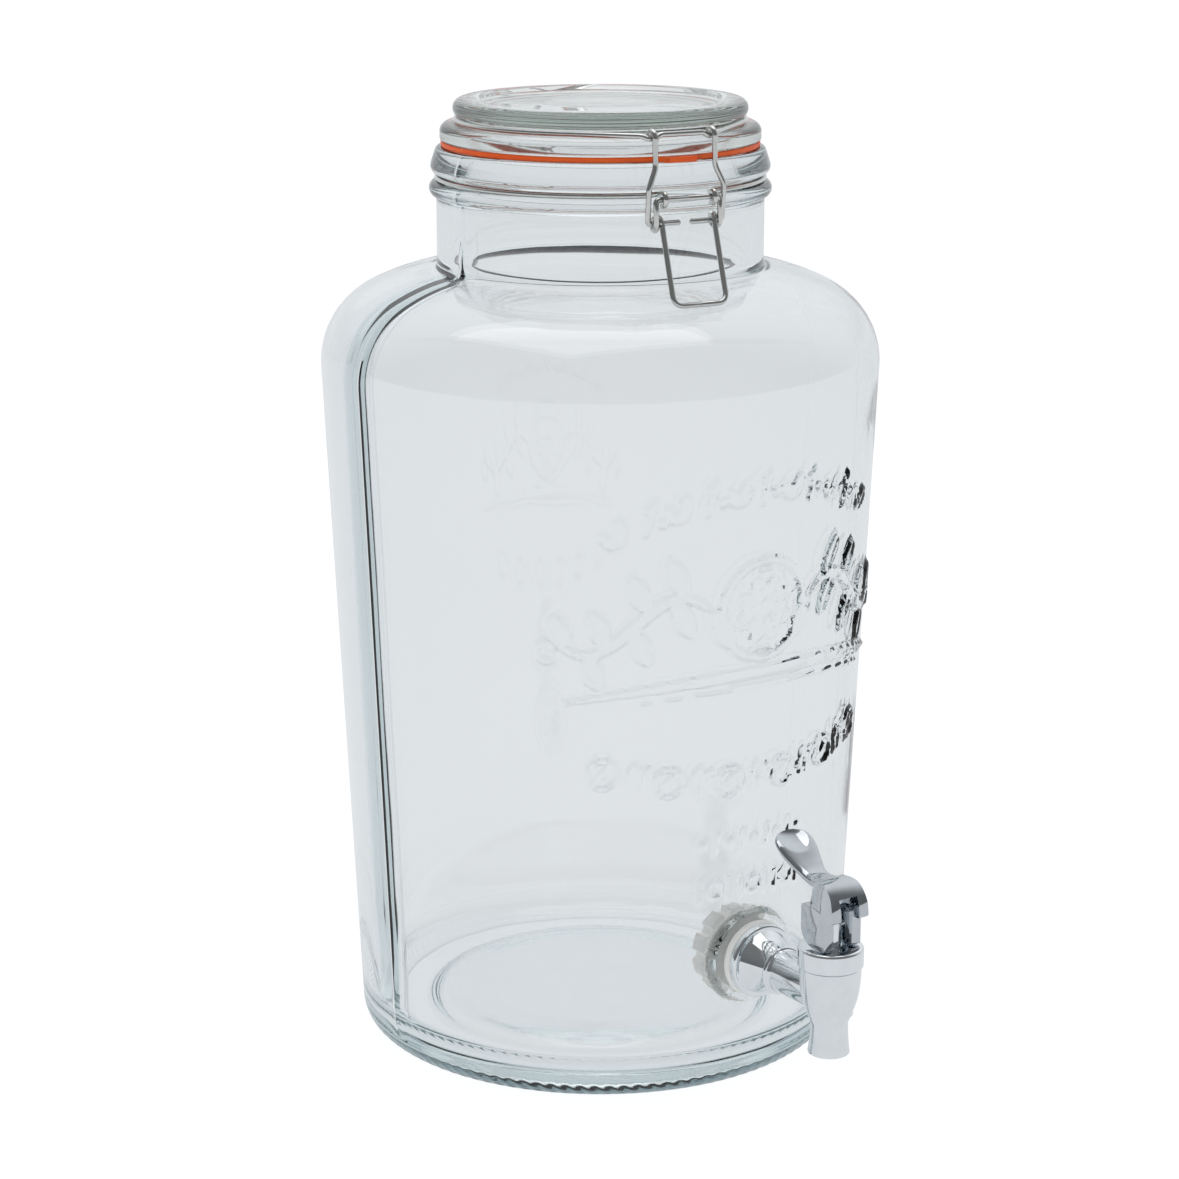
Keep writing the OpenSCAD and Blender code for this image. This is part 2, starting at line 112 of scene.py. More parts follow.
def studio_world():
    """A pale room for what the object reflects, and plain white behind it."""
    world = bpy.data.worlds.new("studio")
    world.use_nodes = True
    bpy.context.scene.world = world
    tree = world.node_tree
    nodes, links = tree.nodes, tree.links
    nodes.clear()
    coord = nodes.new("ShaderNodeTexCoord")
    split = nodes.new("ShaderNodeSeparateXYZ")
    links.new(coord.outputs["Generated"], split.inputs[0])
    height = nodes.new("ShaderNodeValToRGB")
    ramp = height.color_ramp
    ramp.elements[0].position, ramp.elements[0].color = 0.50, HORIZON_COLOUR
    ramp.elements[1].position, ramp.elements[1].color = 1.0, WHITE
    for place, grey in ROOM_GREYS:
        step = ramp.elements.new(place)
        step.color = tuple(grey * part for part in COOL) + (1,)
    lift = nodes.new("ShaderNodeMath")
    lift.operation = "MULTIPLY_ADD"
    lift.inputs[1].default_value, lift.inputs[2].default_value = 0.5, 0.5
    links.new(split.outputs["Z"], lift.inputs[0])
    links.new(lift.outputs[0], height.inputs[0])
    side = nodes.new("ShaderNodeVectorMath")
    side.operation = "DOT_PRODUCT"
    side.inputs[1].default_value = FAR_SIDE
    links.new(coord.outputs["Generated"], side.inputs[0])
    dim = nodes.new("ShaderNodeMapRange")
    dim.interpolation_type = "SMOOTHSTEP"
    sockets = ("From Min", "From Max", "To Min", "To Max")
    for socket, value in zip(sockets, (DIM_BELOW, FULL_ABOVE, DIM_STRENGTH, FULL_STRENGTH)):
        dim.inputs[socket].default_value = value
    links.new(side.outputs["Value"], dim.inputs["Value"])
    room = nodes.new("ShaderNodeBackground")
    links.new(dim.outputs[0], room.inputs["Strength"])
    links.new(height.outputs[0], room.inputs["Color"])
    white = nodes.new("ShaderNodeBackground")
    white.inputs["Color"].default_value = WHITE
    path = nodes.new("ShaderNodeLightPath")
    pick = nodes.new("ShaderNodeMixShader")
    links.new(path.outputs["Is Camera Ray"], pick.inputs[0])
    links.new(room.outputs[0], pick.inputs[1])
    links.new(white.outputs[0], pick.inputs[2])
    out = nodes.new("ShaderNodeOutputWorld")
    links.new(pick.outputs[0], out.inputs["Surface"])


def add_floor():
    corners = [(x * FLOOR_HALF, y * FLOOR_HALF, 0) for x, y in ((-1, -1), (1, -1), (1, 1), (-1, 1))]
    mesh = bpy.data.meshes.new("floor")
    mesh.from_pydata(corners, [], [(0, 1, 2, 3)])
    floor = bpy.data.objects.new("floor", mesh)
    bpy.context.scene.collection.objects.link(floor)
    floor.data.materials.append(floor_material())


# ---- Materials ----

# Each glass: name, how much light it takes up per metre, the tint that this leaves, depth of its waves
GLASSES = (
    ("clear_glass", 26.0, (0.64, 0.735, 0.755, 1), 0.10),
    ("lid_clear_glass", 24.0, (0.66, 0.71, 0.68, 1), 0.12),
)
# Each metal: name, the two colours that its grain mixes, roughness, size of the grain, its depth
METALS = (
    ("drawn_steel", (0.58, 0.58, 0.57), (0.66, 0.66, 0.64), 0.10, 400, 0.0),
    ("chrome_plate", (0.74, 0.77, 0.79), (0.79, 0.82, 0.84), 0.035, 160, 0.01),
    # The lever's chrome is the tap's chrome in darker colours: painted shade on the lever's hood and blade
    ("lever_chrome_painted_shade", (0.50, 0.53, 0.56), (0.57, 0.60, 0.63), 0.05, 160, 0.01),
    ("spring_wire", (0.42, 0.42, 0.42), (0.55, 0.55, 0.54), 0.22, 1200, 0.05),
)
# Each soft material: name, two colours, roughness, size of the grain, share of light scattered inside,
# painted glow
SOFTS = (
    ("milky_silicone", (0.80, 0.80, 0.77), (0.86, 0.86, 0.84), 0.42, 800, 0.35, 0.12),
    ("moulded_plastic", (0.84, 0.84, 0.82), (0.90, 0.90, 0.88), 0.35, 900, 0.2, 0.22),
    ("orange_rubber", (0.95, 0.11, 0.008), (1.0, 0.15, 0.015), 0.45, 700, 0.1, 0.0),
)
GRAIN_DISTANCE, SCATTER_RADIUS, SOFT_DENT = 0.0001, 0.004, 0.2


def new_material(name, **inputs):
    """A Principled material with constant values on its sockets; returns it with its tree and shader."""
    material = bpy.data.materials.new(name)
    material.use_nodes = True
    tree = material.node_tree
    shader = next(n for n in tree.nodes if n.type == "BSDF_PRINCIPLED")
    for key, value in inputs.items():
        shader.inputs[key.replace("_", " ")].default_value = value
    return material, tree, shader


def noise_node(tree, scale, detail=3.0, rough=0.5):
    coord = tree.nodes.new("ShaderNodeTexCoord")
    field = tree.nodes.new("ShaderNodeTexNoise")
    field.inputs["Scale"].default_value = scale
    field.inputs["Detail"].default_value = detail
    field.inputs["Roughness"].default_value = rough
    tree.links.new(coord.outputs["Object"], field.inputs["Vector"])
    return field


def vary(tree, field, socket, low, high):
    """Drives a number or colour socket between two values by a noise field."""
    ramp = tree.nodes.new("ShaderNodeValToRGB")
    a, b = ramp.color_ramp.elements
    a.position, b.position = 0.3, 0.7
    a.color = tuple(low) + (1,) if hasattr(low, "__len__") else (low, low, low, 1)
    b.color = tuple(high) + (1,) if hasattr(high, "__len__") else (high, high, high, 1)
    tree.links.new(field.outputs["Fac"], ramp.inputs[0])
    tree.links.new(ramp.outputs[0], socket)


def bump(tree, shader, field, strength, distance):
    node = tree.nodes.new("ShaderNodeBump")
    node.inputs["Strength"].default_value = strength
    node.inputs["Distance"].default_value = distance
    tree.links.new(field.outputs["Fac"], node.inputs["Height"])
    tree.links.new(node.outputs[0], shader.inputs["Normal"])


def glass_material(name, density, tint, wave):
    """Clear glass that takes up light by its thickness, with faint waves in its surface."""
    material, tree, shader = new_material(
        name, Base_Color=WHITE, Transmission_Weight=1.0, IOR=1.5, Roughness=0.0)
    vary(tree, noise_node(tree, 9.0), shader.inputs["Roughness"], 0.0, 0.015)
    bump(tree, shader, noise_node(tree, 22.0, 2.0), wave, 0.002)
    absorb = tree.nodes.new("ShaderNodeVolumeAbsorption")
    absorb.inputs["Color"].default_value = tint
    absorb.inputs["Density"].default_value = density
    out = next(n for n in tree.nodes if n.type == "OUTPUT_MATERIAL")
    tree.links.new(absorb.outputs[0], out.inputs["Volume"])
    return material


def metal_material(name, low, high, rough, grain_scale, dent):
    material, tree, shader = new_material(name, Metallic=1.0)
    grain = noise_node(tree, grain_scale, 4.0, 0.6)
    vary(tree, grain, shader.inputs["Base Color"], low, high)
    vary(tree, noise_node(tree, grain_scale * 0.2), shader.inputs["Roughness"], rough, rough * 1.8)
    bump(tree, shader, grain, dent, GRAIN_DISTANCE)
    return material


def soft_material(name, low, high, rough, grain_scale, scatter, glow):
    # The emission is a painted glow that brightens the silicone and plastic parts beyond their lighting
    material, tree, shader = new_material(
        name, Subsurface_Weight=scatter, Subsurface_Radius=(SCATTER_RADIUS,) * 3,
        Emission_Color=(1.0, 1.0, 0.98, 1), Emission_Strength=glow)
    grain = noise_node(tree, grain_scale, 4.0, 0.6)
    vary(tree, noise_node(tree, grain_scale * 0.15), shader.inputs["Base Color"], low, high)
    vary(tree, grain, shader.inputs["Roughness"], rough, rough * 1.3)
    bump(tree, shader, grain, SOFT_DENT, GRAIN_DISTANCE)
    return material


def floor_material():
    material, tree, shader = new_material(
        "pale_floor", Roughness=1.0, Specular_IOR_Level=0.0, Emission_Color=FLOOR_COLOUR)
    vary(tree, noise_node(tree, 3.0), shader.inputs["Base Color"], 0.10, 0.11)
    path = tree.nodes.new("ShaderNodeLightPath")
    glow = tree.nodes.new("ShaderNodeMapRange")
    glow.inputs["To Min"].default_value, glow.inputs["To Max"].default_value = FLOOR_GLOW, FLOOR_GLOW_SEEN
    tree.links.new(path.outputs["Is Camera Ray"], glow.inputs["Value"])
    tree.links.new(glow.outputs[0], shader.inputs["Emission Strength"])
    return material


# ---- Curves, in millimetres ----

def unit(v):
    return v / np.linalg.norm(v)


def arc(c, r, a, b, n=12):
    """Points on a circle about c, from angle a to angle b in degrees."""
    t = np.radians(np.linspace(a, b, n + 1))
    return [np.array((c[0] + r * math.cos(k), c[1] + r * math.sin(k))) for k in t]


def curve(a, c, b, n=10):
    """A smooth line from a to b that is pulled towards c."""
    a, b, c = at(a, b, c)
    return [(1 - t) ** 2 * a + 2 * t * (1 - t) * c + t * t * b for t in np.linspace(0, 1, n + 1)]


def at(*points):
    return [np.array(p, float) for p in points]


def rounded(points, r):
    """A line through points whose corners are curves that start r before each corner."""
    points = at(*points)
    path = [points[0]]
    for before, here, after in zip(points, points[1:], points[2:]):
        path += curve(here + r * unit(before - here), here, here + r * unit(after - here), 8)
    return path + [points[-1]]


def out(x, r, z):
    """A point in the clasp's plane: x across, r away from the jar axis, z up."""
    return np.array((x, -r, z), float)


def turned(points, angle):
    c, s = math.cos(angle), math.sin(angle)
    return [np.array((p[0] * c - p[1] * s, p[0] * s + p[1] * c, p[2])) for p in points]


# ---- Meshes ----

def linked(name, verts, faces):
    """An object in the scene, in metres, from points in millimetres, with its faces turned outwards."""
    mesh = bpy.data.meshes.new(name)
    mesh.from_pydata([tuple(float(c) * MM for c in v) for v in verts], [], faces)
    mesh.validate()
    bm = bmesh.new()
    bm.from_mesh(mesh)
    bmesh.ops.remove_doubles(bm, verts=bm.verts, dist=1e-7)
    bmesh.ops.recalc_face_normals(bm, faces=bm.faces)
    bm.to_mesh(mesh)
    bm.free()
    piece = bpy.data.objects.new(name, mesh)
    bpy.context.scene.collection.objects.link(piece)
    return piece


def make(name, verts, faces, material, slot, body, smooth_deg=35.0):
    piece = linked(name, verts, faces)
    piece.data.materials.append(material)
    shade(piece, smooth_deg)
    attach(piece, body)
    return piece


def shade(piece, smooth_deg):
    piece.data.shade_smooth()
    piece.data.set_sharp_from_angle(angle=math.radians(smooth_deg))


def apply_modifiers(piece):
    depsgraph = bpy.context.evaluated_depsgraph_get()
    result = bpy.data.meshes.new_from_object(piece.evaluated_get(depsgraph))
    piece.modifiers.clear()
    piece.data = result


def cut_with(piece, part, solver="EXACT"):
    """Takes a closed part, given as vertices and faces, out of a piece."""
    tool = linked("tool", *part)
    cut = piece.modifiers.new("cut", "BOOLEAN")
    cut.operation, cut.solver, cut.object = "DIFFERENCE", solver, tool
    apply_modifiers(piece)
    bpy.data.objects.remove(tool)


def ring_faces(first, second, n):
    return [(first + k, first + (k + 1) % n, second + (k + 1) % n, second + k) for k in range(n)]


def along_z(r, a, h):
    return r * math.cos(a), r * math.sin(a), h


def along_tap(r, a, h):
    return r * math.cos(a), -h, TAP_Z + r * math.sin(a)


def on_barrel(r, a, h):
    return r * math.cos(a), r * math.sin(a) - BARREL_Y, h


def lathe(profile, place, n, change=None):
    """An outline (r, h) turned round an axis. Unless both its ends are on the axis it closes on itself."""
    verts, faces, rows = [], [], []
    for r, h in profile:
        if r < 1e-6:
            rows.append((len(verts), 1))
            verts.append(place(0.0, 0.0, h))
            continue
        rows.append((len(verts), n))
        for k in range(n):
            a = 2 * math.pi * k / n
            verts.append(place(change(r, a, h) if change else r, a, h))
    closed = rows[0][1] == 1 and rows[-1][1] == 1
    pairs = list(zip(rows, rows[1:])) + ([] if closed else [(rows[-1], rows[0])])
    for (i, a), (j, b) in pairs:
        if a == n and b == n:
            faces += ring_faces(i, j, n)
        elif a == 1 and b == n:
            faces += [(i, j + (k + 1) % n, j + k) for k in range(n)]
        elif b == 1 and a == n:
            faces += [(i + k, i + (k + 1) % n, j) for k in range(n)]
    return verts, faces


def tube(path, r, sides=20, start=(0.0, 0.0, 1.0)):
    """A round wire along a path, with chamfered ends."""
    path = at(*path)
    path = [p for k, p in enumerate(path) if k == 0 or np.linalg.norm(p - path[k - 1]) > 1e-4]
    tip, tip_r = 0.485 * r, 0.62 * r
    path = ([path[0] + tip * unit(path[0] - path[1])] + path
            + [path[-1] + tip * unit(path[-1] - path[-2])])
    count = len(path)
    radii = [tip_r] + [r] * (count - 2) + [tip_r]
    tangents = [unit(path[min(i + 1, count - 1)] - path[max(i - 1, 0)]) for i in range(count)]
    n = np.array(start, float)
    verts, faces = [], []
    for i in range(count):
        n = unit(n - (n @ tangents[i]) * tangents[i])
        b = np.cross(tangents[i], n)
        for k in range(sides):
            a = 2 * math.pi * k / sides
            verts.append(path[i] + radii[i] * (math.cos(a) * n + math.sin(a) * b))
    for i in range(count - 1):
        faces += ring_faces(i * sides, (i + 1) * sides, sides)
    faces.append(tuple(range(sides - 1, -1, -1)))
    faces.append(tuple((count - 1) * sides + k for k in range(sides)))
    return verts, faces


def merge(parts):
    verts, faces = [], []
    for more, joined in parts:
        base = len(verts)
        verts += list(more)
        faces += [tuple(base + i for i in f) for f in joined]
    return verts, faces


def mirrored(part):
    verts, faces = part
    return [(-v[0], v[1], v[2]) for v in verts], [tuple(reversed(f)) for f in faces]


def spun(part, angle):
    verts, faces = part
    return turned(verts, angle), faces


# ---- The jar ----

# The outline: a leaning wall between the heel and the shoulder, two arcs over the shoulder, and the neck
BODY_R_LOW, BODY_R_HIGH, SHOULDER_Z, HEEL_R = 90.3, 101.3, 253.0, 10.0
LEAN = math.degrees(math.atan((BODY_R_HIGH - BODY_R_LOW) / (SHOULDER_Z - HEEL_R)))
SHOULDER_R, SHOULDER_TURN, CROWN_R, FILLET, NECK_R, WALL = 30.0, 65.0, 79.0, 2.2, 58.9, 4.0
SHOULDER_C = np.array((BODY_R_HIGH - SHOULDER_R, SHOULDER_Z))
CROWN_C = SHOULDER_C - (CROWN_R - SHOULDER_R) * np.array(
    (math.cos(math.radians(SHOULDER_TURN)), math.sin(math.radians(SHOULDER_TURN))))
NECK_INNER_R, INNER_FILLET = 53.6, 9.0
INNER_HEEL_R, INNER_FLOOR_Z, GROOVE_R = 13.0, 8.5, 57.43
# The tap's pad: its radius, how far its flat face is from the jar's axis, and the radius of the hole in it
PAD_R, PAD_Y, TAP_HOLE_R = 18.0, 95.0, 8.3
# How many ribs the heel has round it, and how deep they are
RIBS, RIB_DEPTH = 108, 0.30
# Heights of the ornament's rows, from the arch at the top down to the small bars, and how far it stands out
ARCH_Z, WHEEL_Z, SWEEP_Z, GARLAND_Z, BEADS_Z, BARS_Z = 223.5, 180.0, 157.5, 118.5, 96.0, 78.6
RELIEF_EDGE, RELIEF_SCALE = 0.9, 1.2
# The mould seams' height, and its share on the fainter +X side and on the neck
SEAM_HEIGHT, SEAM_FAINT, SEAM_ON_NECK = 0.55, 0.3, 0.45
# Extra glass beside the -X seam: its depth, the distances where it is full and where it ends, and its fade
FLANK_DEPTH, FLANK_FULL, FLANK_END, FLANK_FADE = 4.6, 17, 46, 24
# The inner wall's unevenness: its depth, and its length round the jar and up it
UNEVEN, UNEVEN_ROUND, UNEVEN_UP = 0.28, 38, 55


def smoothstep(x):
    x = np.clip(x, 0.0, 1.0)
    return x * x * (3 - 2 * x)


class Relief:
    """Raised ornament as a height over (s, z): s along the wall from the tap's side, z up."""

    def __init__(self, s, z):
        self.s, self.z = s, z
        self.h = np.zeros_like(s)

    def add(self, distance, height):
        self.h = np.maximum(self.h, height * smoothstep(0.5 - distance / RELIEF_EDGE))

    def dot(self, s, z, r, height=0.9):
        self.add(np.hypot(self.s - s, self.z - z) - r, height)

    def ring(self, s, z, r, w, height=0.9):
        self.add(np.abs(np.hypot(self.s - s, self.z - z) - r) - w / 2, height)

    def stroke(self, points, w, height=0.9, taper=True):
        """A line through points, thinner at its ends."""
        points = np.array(points, float)
        count = len(points) - 1
        best = np.full_like(self.s, 1e3)
        for i in range(count):
            (ax, az), (bx, bz) = points[i], points[i + 1]
            dx, dz = bx - ax, bz - az
            t = np.clip(((self.s - ax) * dx + (self.z - az) * dz) / (dx * dx + dz * dz), 0, 1)
            along = (i + t) / count
            half = w / 2 * (0.35 + 0.65 * np.sin(np.pi * along) if taper else 1.0)
            best = np.minimum(best, np.hypot(self.s - ax - t * dx, self.z - az - t * dz) - half)
        self.add(best, height)

    def leaf(self, s, z, length, width, angle, height=0.9):
        """A lens-shaped leaf with a sunken midrib, from its stalk at (s, z)."""
        a = math.radians(angle)
        u = (self.s - s) * math.cos(a) + (self.z - z) * math.sin(a)
        v = -(self.s - s) * math.sin(a) + (self.z - z) * math.cos(a)
        half, w = length / 2, width / 2
        radius = (half * half + w * w) / (2 * w)
        lens = np.hypot(u - half, np.abs(v) + radius - w) - radius
        rib = smoothstep((np.abs(v) - 0.15) / 1.1)
        self.h = np.maximum(self.h, height * smoothstep(0.5 - lens / RELIEF_EDGE) * (0.45 + 0.55 * rib))


def ornament(s, z):
    r = Relief(s, z)
    # upper row: an arch of paired leaves and berries
    for k in range(-5, 6):
        x = k * 10.8
        base = ARCH_Z - 0.0041 * x * x
        tilt = math.degrees(math.atan(-0.0082 * x))
        if k % 2:
            r.leaf(x - 0.5, base - 6, 11.5, 5.2, 68 + tilt)
            r.leaf(x - 0.8, base - 6, 9.5, 4.2, 122 + tilt)
        else:
            r.stroke([(x - 2.6, base - 5.2), (x + 0.4, base + 5.4)], 2.4, taper=False)
            r.dot(x + 3.2, base - 1.8, 1.9)
            r.dot(x - 2.4, base + 3.0, 1.4)
    # the middle: a citrus wheel with a vine on each side
    r.ring(0, WHEEL_Z, 17.5, 3.0, 1.1)
    r.ring(0, WHEEL_Z, 14.2, 0.9, 0.55)
    for k in range(8):
        a = math.radians(22.5 + 45 * k)
        r.leaf(2.6 * math.cos(a), WHEEL_Z + 2.6 * math.sin(a), 10.4, 6.6, math.degrees(a))
    for side in (-1, 1):
        stem = [(side * (19.5 + 58 * t), WHEEL_Z - 4 + 10.5 * math.sin(5.4 * t + 0.4) + 3 * t)
                for t in np.linspace(0, 1, 30)]
        r.stroke(stem, 4.6, 1.1)
        for k, t in enumerate(np.linspace(0.06, 0.92, 8)):
            x, y = stem[int(t * 29)]
            up = 1 if k % 2 else -1
            lean = 58 if side > 0 else 122
            r.leaf(x, y, 18 - 4.5 * t, 7.6, (lean if up > 0 else lean - 180) + side * 8 * t, 1.15)
        tip_x, tip_z = stem[-1]
        curl = [(tip_x + side * (5.5 - 4.6 * q) * math.sin(5.2 * q),
                 tip_z - 5.5 + (5.5 - 4.0 * q) * math.cos(5.2 * q)) for q in np.linspace(0, 1, 22)]
        r.stroke(curl, 2.8, 1.1)
    # the sweep under it
    for x0, x1, count, drop, w, height in ((-72, 80, 40, 0, 4.6, 0.8), (-50, 64, 30, 4.9, 1.4, 0.6)):
        r.stroke([(x, SWEEP_Z - drop - 0.00135 * x * x) for x in np.linspace(x0, x1, count)], w, height)
    # lower row: a hanging garland of wedges and berries
    for k in range(-5, 6):
        x = k * 11.6
        base = GARLAND_Z + 0.0018 * x * x
        if k % 2:
            r.ring(x, base, 5.1, 1.9)
            r.leaf(x - 3.0, base - 3.0, 8.6, 3.0, 45)
        else:
            r.leaf(x - 1.6, base - 6.4, 13.4, 6.0, 84)
            r.dot(x + 4.1, base + 3.6, 1.5)
    # two small rows of beads and bars
    for k in range(-4, 5):
        x = k * 5.3
        if k % 2:
            r.stroke([(x - 0.7, BEADS_Z - 3.4), (x + 0.7, BEADS_Z + 3.4)], 1.7, 0.7, taper=False)
        else:
            r.dot(x, BEADS_Z, 1.7, 0.7)
        if k % 3:
            r.stroke([(x, BARS_Z - 3.8), (x, BARS_Z + 3.8)], 1.8, 0.7, taper=False)
        else:
            r.ring(x, BARS_Z, 2.9, 1.3, 0.7)
    return RELIEF_SCALE * r.h


def seam(a, r):
    """The mould seam on each side: a narrow raised band with soft edges, fainter on the +X side."""
    off = np.minimum(np.abs(np.mod(a, np.pi)), np.abs(np.pi - np.mod(a, np.pi))) * r
    crest, skirt = smoothstep(0.5 - (off - 0.8) / 1.8), smoothstep(1.0 - off / 8.5)
    return np.where(np.cos(a) > 0, SEAM_FAINT, 1.0) * SEAM_HEIGHT * (crest + skirt)


def thick_flank(a, r):
    """Extra glass on the inside, peaking a little way round from the -X seam."""
    off = (np.radians(270) - a) * r
    return FLANK_DEPTH * smoothstep(off / FLANK_FULL) * smoothstep((FLANK_END - off) / FLANK_FADE)


def around(cells):
    """Azimuths from spans (from, to, step) in degrees, where 0 is the tap's side."""
    parts = [np.arange(a, b - 1e-6, (b - a) / max(1, round((b - a) / step))) for a, b, step in cells]
    return np.sort(np.mod(np.radians(np.concatenate(parts)), 2 * np.pi))


def band_columns(fine_half, fine, coarse):
    """Azimuths that are fine on the tap's side and at the two seams, and coarse between them."""
    return around([(-fine_half, fine_half, fine), (fine_half, 84, coarse), (84, 96, 0.6), (96, 264, coarse),
                   (264, 276, 0.6), (276, 360 - fine_half, coarse)])


def wall_line(d, heel, fillet, neck_r):
    """The shoulder, d into the glass, up to a fillet that meets a neck of the given radius."""
    x = neck_r + fillet
    centre = np.array((x, CROWN_C[1] + math.sqrt((CROWN_R - d + fillet) ** 2 - (x - CROWN_C[0]) ** 2)))
    turn = math.degrees(math.atan2(centre[1] - CROWN_C[1], centre[0] - CROWN_C[0]))
    return (heel
            + arc(SHOULDER_C, SHOULDER_R - d, -LEAN, SHOULDER_TURN, 21)
            + arc(CROWN_C, CROWN_R - d, SHOULDER_TURN, turn, 10)
            + arc(centre, fillet, turn + 180, 180, 8))


def heel_line(z0, z1, n, d=0.0):
    """Points up the leaning wall between two heights, moved into the glass by d."""
    start = BODY_R_LOW - HEEL_R + (HEEL_R - d) / math.cos(math.radians(LEAN))
    slope = math.tan(math.radians(LEAN))
    return [np.array((start + (z - HEEL_R) * slope, z)) for z in np.linspace(z0, z1, n + 1)]


def inner_line():
    """The inside from the floor up to the mouth."""
    lean, centre_z = math.radians(LEAN), INNER_FLOOR_Z + INNER_HEEL_R
    centre_r = (BODY_R_LOW - HEEL_R + HEEL_R * math.cos(lean) + (centre_z - HEEL_R) * math.tan(lean)
                - (WALL + INNER_HEEL_R) / math.cos(lean))
    heel = arc((centre_r, centre_z), INNER_HEEL_R, -90, -LEAN, 12) + heel_line(40, 235, 14, WALL)
    return (curve((46, 14.5), (55, 13.5), (60, 10.5), 6)[:-1]
            + curve((60, 10.5), (64, INNER_FLOOR_Z), (70, INNER_FLOOR_Z), 5)
            + wall_line(WALL, heel, INNER_FILLET, NECK_INNER_R)
            + at(*((NECK_INNER_R, z) for z in (294, 300, 306, 309)))
            + curve((NECK_INNER_R, 312), (52, 316), (52, 321), 8)
            + arc((53, 329.2), 1.0, 180, 90, 5))


def jar_mesh():
    foot = (at((0, 8), (20, 7.8)) + curve((40, 7), (52, 6.4), (57, 4.6), 6)
            + arc((66, 6), 6, -150, -90, 8))
    heel = arc((BODY_R_LOW - HEEL_R, HEEL_R), HEEL_R, -90, -LEAN, 16)
    bead_and_rim = (arc((58.7, 315.4), 2.8, -84, 96, 16)
                    + at((GROOVE_R, 318.5), (GROOVE_R, 320.13))
                    + arc((57.9, 323.4), 3.0, -98, 18, 14)
                    + arc((57.4, 328.2), 2.0, 18, 90, 8))
    neck = at(*((NECK_R, z) for z in (294, 300, 306, 311))) + bead_and_rim
    plain = band_columns(14, 1.4, 2.8)
    pad = band_columns(13.5, 0.55, 2.6)
    beads, garland, vine = (band_columns(half, 0.56, 2.6) for half in (18, 42, 57))
    bands = [("foot", foot, around([(0, 360, 3)])),
             ("ribs", heel, np.linspace(0, 2 * math.pi, RIBS * 6, endpoint=False)),
             ("wall", heel_line(14, 28, 3), plain),
             ("pad", heel_line(30, 70.5, 42), pad),
             ("ornament", heel_line(72, 102, 30), beads),
             ("ornament", heel_line(105, 131, 26), garland),
             ("ornament", heel_line(134, 202, 68), vine),
             ("ornament", heel_line(205, 232, 27), garland),
             ("wall", heel_line(236, 251, 3) + wall_line(0, [], FILLET, NECK_R), plain),
             ("wall", neck, plain),
             ("inside", list(reversed(inner_line())), around([(0, 360, 3)])),
             ("centre", at((0, 16)), None)]
    verts, faces, last = [], [], None
    for kind, line, angles in bands:
        for r, z in line:
            if r < 1e-6:
                row = (len(verts), None)
                verts.append((0.0, 0.0, z))
            else:
                row = (len(verts), angles)
                radii, heights = jar_ring(kind, r, z, angles)
                verts += list(zip(radii * np.sin(angles), -radii * np.cos(angles), heights))
            if last is not None:
                faces += stitch(last, row)
            last = row
    return verts, faces


def jar_ring(kind, r, z, a):
    """Radii and heights round one ring of the jar, whose outline has radius r at height z."""
    radii, heights = np.full(len(a), float(r)), np.full(len(a), float(z))
    wrapped = np.mod(a + np.pi, 2 * np.pi) - np.pi
    if kind in ("wall", "pad", "ornament"):
        radii += seam(a - math.pi / 2, r) * (1.0 if z < 300 else SEAM_ON_NECK)
    if kind == "ribs":
        lift = smoothstep((z - 0.5) / 1.0) * smoothstep((7.0 - z) / 2.5)
        radii -= RIB_DEPTH * lift * (0.5 - 0.5 * np.cos(RIBS * a + 0.55 * z)) ** 1.5
    if kind == "pad":
        inside_pad = smoothstep(0.5 - (np.hypot(r * np.sin(a), z - TAP_Z) - PAD_R + 0.9) / 1.8)
        flat = np.maximum(PAD_Y / np.maximum(np.cos(wrapped), 0.5), radii)
        radii = np.where(np.abs(wrapped) < math.radians(40), radii + (flat - radii) * inside_pad, radii)
    if kind == "ornament":
        radii += ornament(wrapped * r, heights)
    if kind == "inside" and 14 < z < 287:
        more = thick_flank(a, r) * smoothstep((z - 14) / 20)
        lean = np.clip((z - SHOULDER_Z) / 34, 0, 1) * math.pi / 2
        radii, heights = radii - more * math.cos(lean), heights - more * math.sin(lean)
    if kind == "inside" and 22 < z < 300:
        radii += np.array([UNEVEN * noise.noise((
            r * math.sin(t) / UNEVEN_ROUND, r * math.cos(t) / UNEVEN_ROUND, z / UNEVEN_UP)) for t in a])
    return radii, heights


def stitch(low, high):
    """Faces between two rings that may have different numbers of points, or between a ring and a point."""
    (i, a), (j, b) = low, high
    if a is None:
        return [(i, j + k, j + (k + 1) % len(b)) for k in range(len(b))]
    if b is None:
        return [(i + (k + 1) % len(a), i + k, j) for k in range(len(a))]
    n, m = len(a), len(b)
    if n == m and np.allclose(a, b):
        return ring_faces(i, j, n)
    wide_a, wide_b = np.append(a, a[0] + 2 * np.pi), np.append(b, b[0] + 2 * np.pi)
    faces, p, q = [], 0, 0
    while p < n or q < m:
        if q >= m or (p < n and wide_a[p + 1] <= wide_b[q + 1]):
            faces.append((i + p % n, i + (p + 1) % n, j + q % m))
            p += 1
        else:
            faces.append((i + p % n, j + (q + 1) % m, j + q % m))
            q += 1
    return faces


def add_jar(glass):
    piece = make("jar_glass_body", *jar_mesh(), glass, "jar_glass", "dispenser", 40)
    hole = lathe([(0, 80), (TAP_HOLE_R, 80), (TAP_HOLE_R, 100), (0, 100)], along_tap, 96)
    cut_with(piece, hole, "MANIFOLD")
    shade(piece, 40)
    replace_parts(piece, "jar")


# ---- The lid and its gasket ----

